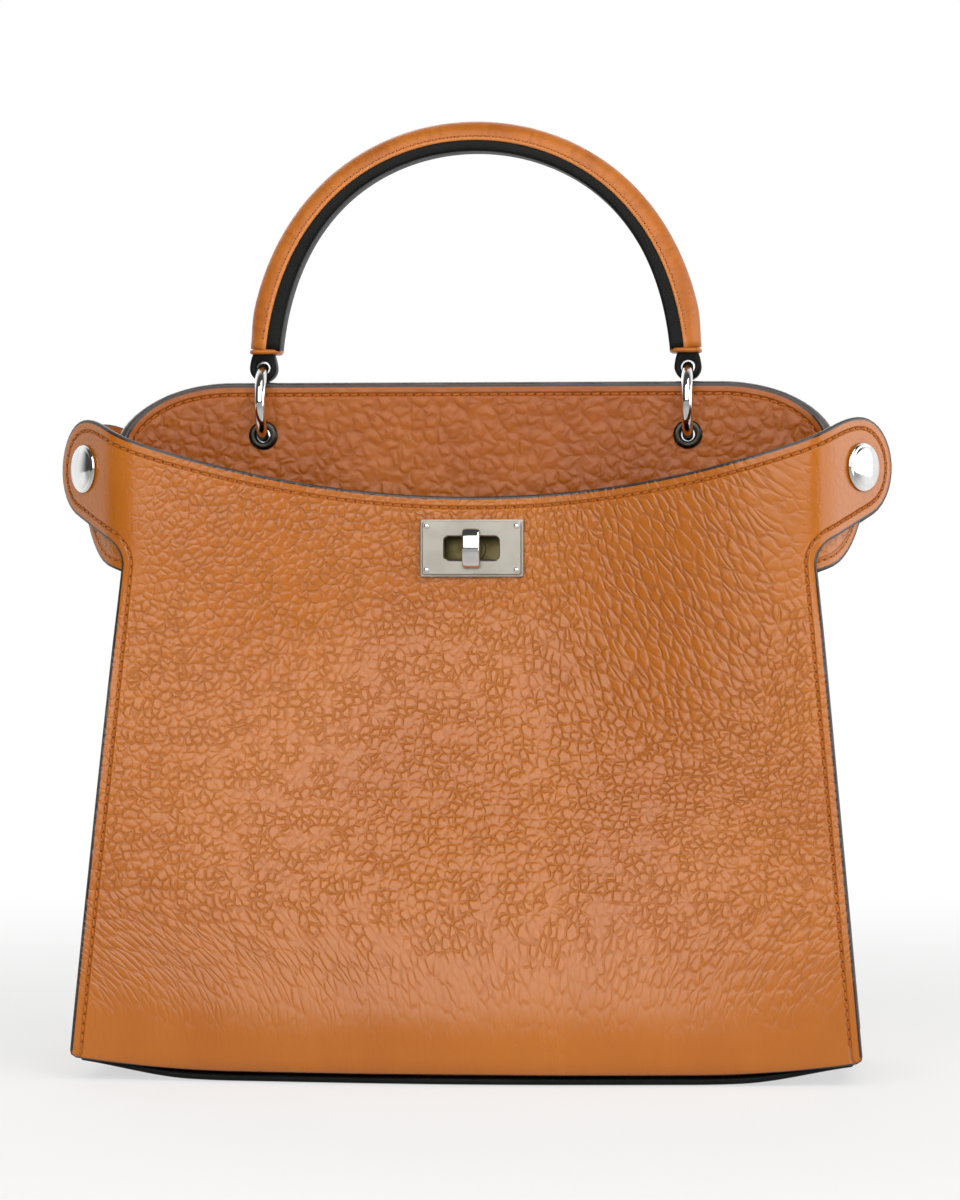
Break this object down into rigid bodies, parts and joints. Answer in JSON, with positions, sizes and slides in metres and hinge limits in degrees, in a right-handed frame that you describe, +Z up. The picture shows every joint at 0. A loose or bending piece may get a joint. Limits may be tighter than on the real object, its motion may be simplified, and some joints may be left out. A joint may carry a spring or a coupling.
{
  "type": "top handle bag",
  "caption": "Structured leather bag with an arched top handle on rings, a stiff divider between two compartments, turn locks and side ears held by studs.",
  "frame": {"origin": "middle of the underside of the base, on the ground", "axes": "+Z up, +X to the right seen from the front, +Y from the front to the back"},
  "size_m": [0.2832, 0.114, 0.3247],
  "materials": {
    "tan_leather": "pebbled grain",
    "lining_leather": "smooth",
    "black_leather": "smooth",
    "stiffener": "matte",
    "polished_steel": "polished",
    "satin_steel": "satin",
    "dark_metal": "satin"
  },
  "bodies": {
    "bag": {"back_left_gusset": "tan_leather", "back_left_stud": "polished_steel", "back_left_stud_washer": "polished_steel", "back_lining": "lining_leather", "back_lock_backplate": "satin_steel", "back_lock_base": "satin_steel", "back_lock_face": "satin_steel", "back_lock_frame": "satin_steel", "back_lock_rivets": "polished_steel", "back_panel": "tan_leather", "back_right_gusset": "tan_leather", "back_right_stud": "polished_steel", "back_right_stud_washer": "polished_steel", "base_board": "stiffener", "base_panel": "black_leather", "divider_back_skin": "tan_leather", "divider_board": "stiffener", "divider_front_skin": "tan_leather", "front_left_gusset": "tan_leather", "front_left_stud": "polished_steel", "front_left_stud_washer": "polished_steel", "front_lining": "lining_leather", "front_lock_backplate": "satin_steel", "front_lock_base": "satin_steel", "front_lock_face": "satin_steel", "front_lock_frame": "satin_steel", "front_lock_rivets": "polished_steel", "front_panel": "tan_leather", "front_right_gusset": "tan_leather", "front_right_stud": "polished_steel", "front_right_stud_washer": "polished_steel", "left_eyelet": "dark_metal", "left_eyelet_washer": "dark_metal", "right_eyelet": "dark_metal", "right_eyelet_washer": "dark_metal"},
    "handle": {"handle_cover": "tan_leather", "handle_core": "stiffener", "handle_strap": "black_leather", "left_handle_band": "tan_leather", "right_handle_band": "tan_leather"},
    "left_ring": {"left_handle_ring": "polished_steel"},
    "right_ring": {"right_handle_ring": "polished_steel"},
    "front_lock": {"front_lock_spindle": "polished_steel", "front_turn_bar": "polished_steel"},
    "back_lock": {"back_lock_spindle": "polished_steel", "back_turn_bar": "polished_steel"}
  },
  "joints": [
    {"name": "handle_swing", "type": "hinge", "parent": "bag", "child": "handle", "pos_m": [0, 0, 0.2284], "axis": [1, 0, 0], "range_deg": [-100, 100]},
    {"name": "left_ring_turn", "type": "hinge", "parent": "bag", "child": "left_ring", "pos_m": [-0.073, 0, 0.2284], "axis": [1, 0, 0], "continuous": true},
    {"name": "right_ring_turn", "type": "hinge", "parent": "bag", "child": "right_ring", "pos_m": [0.073, 0, 0.2284], "axis": [1, 0, 0], "continuous": true},
    {"name": "front_lock_turn", "type": "hinge", "parent": "bag", "child": "front_lock", "pos_m": [0, -0.016, 0.178], "axis": [0, 1, 0], "range_deg": [0, 90]},
    {"name": "back_lock_turn", "type": "hinge", "parent": "bag", "child": "back_lock", "pos_m": [0, 0.016, 0.178], "axis": [0, -1, 0], "range_deg": [0, 90]}
  ]
}
